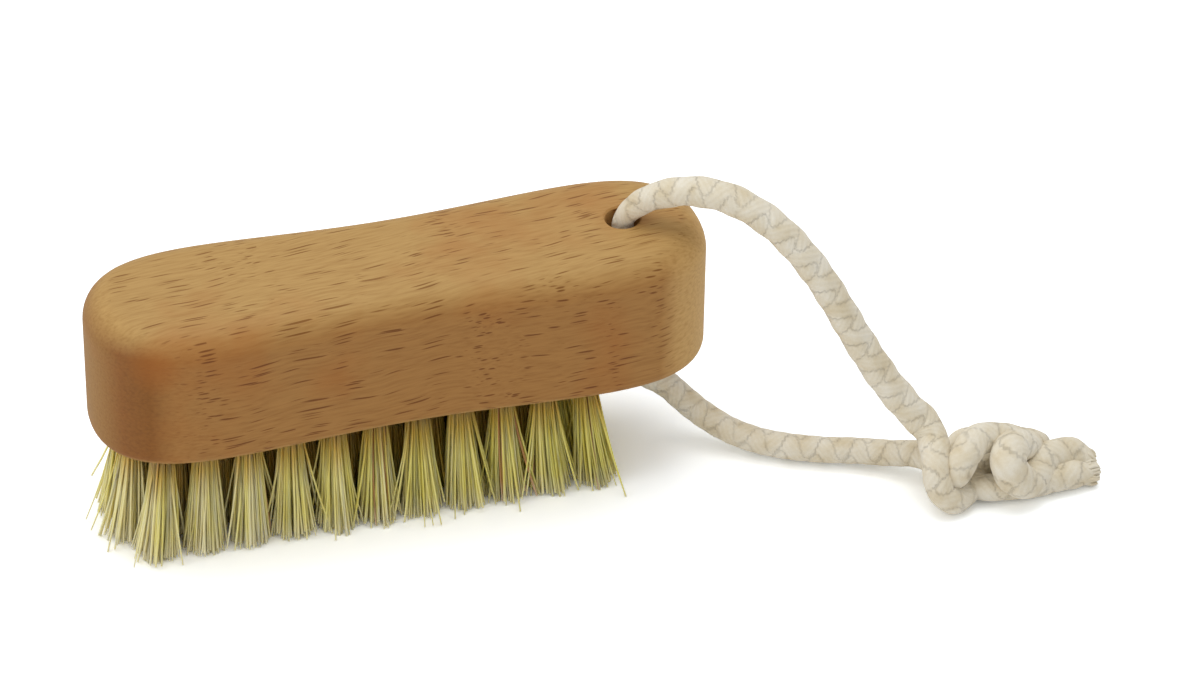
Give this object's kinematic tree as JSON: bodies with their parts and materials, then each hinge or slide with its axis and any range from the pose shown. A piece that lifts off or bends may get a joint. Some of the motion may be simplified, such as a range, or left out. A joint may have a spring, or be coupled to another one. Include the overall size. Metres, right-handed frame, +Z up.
{
  "type": "nail brush",
  "caption": "Waisted beech nail brush with rounded ends, staple-set plant-fibre tufts and a knotted loop of cotton cord through a hole near one end.",
  "frame": {"origin": "on the ground under the middle of the block, in the plane of the bristle tips, without the cord", "axes": "+X along the block towards the cord hole, +Z up from the bristle tips to the block's top, +Y across the block"},
  "size_m": [0.1514, 0.0486, 0.0515],
  "materials": {
    "beech": "oiled beech, satin",
    "plant_fibre": "stiff natural plant fibre, waxy",
    "anchor_wire": "drawn flat wire",
    "cotton_cord": "braided unbleached cotton, matt"
  },
  "bodies": {
    "brush": {"brush_block": "beech", "tuft_1_1": "plant_fibre", "tuft_1_2": "plant_fibre", "tuft_1_3": "plant_fibre", "tuft_1_4": "plant_fibre", "tuft_1_5": "plant_fibre", "tuft_1_6": "plant_fibre", "tuft_1_7": "plant_fibre", "tuft_1_8": "plant_fibre", "tuft_1_9": "plant_fibre", "tuft_1_10": "plant_fibre", "tuft_1_11": "plant_fibre", "tuft_2_1": "plant_fibre", "tuft_2_2": "plant_fibre", "tuft_2_3": "plant_fibre", "tuft_2_4": "plant_fibre", "tuft_2_5": "plant_fibre", "tuft_2_6": "plant_fibre", "tuft_2_7": "plant_fibre", "tuft_2_8": "plant_fibre", "tuft_2_9": "plant_fibre", "tuft_2_10": "plant_fibre", "tuft_2_11": "plant_fibre", "tuft_3_1": "plant_fibre", "tuft_3_2": "plant_fibre", "tuft_3_3": "plant_fibre", "tuft_3_4": "plant_fibre", "tuft_3_5": "plant_fibre", "tuft_3_6": "plant_fibre", "tuft_3_7": "plant_fibre", "tuft_3_8": "plant_fibre", "tuft_3_9": "plant_fibre", "tuft_3_10": "plant_fibre", "tuft_3_11": "plant_fibre", "tuft_4_1": "plant_fibre", "tuft_4_2": "plant_fibre", "tuft_4_3": "plant_fibre", "tuft_4_4": "plant_fibre", "tuft_4_5": "plant_fibre", "tuft_4_6": "plant_fibre", "tuft_4_7": "plant_fibre", "tuft_4_8": "plant_fibre", "tuft_4_9": "plant_fibre", "tuft_4_10": "plant_fibre", "tuft_4_11": "plant_fibre", "anchor_staples": "anchor_wire"},
    "cord_loop": {"cord_upper": "cotton_cord", "cord_lower": "cotton_cord", "cord_knot": "cotton_cord", "cord_tail_a": "cotton_cord", "cord_tail_b": "cotton_cord"}
  },
  "joints": [
    {"name": "loop_swing", "type": "hinge", "parent": "brush", "child": "cord_loop", "pos_m": [0.0353, 0, 0.0305], "axis": [0, 0, 1], "range_deg": [-35, 95]}
  ]
}
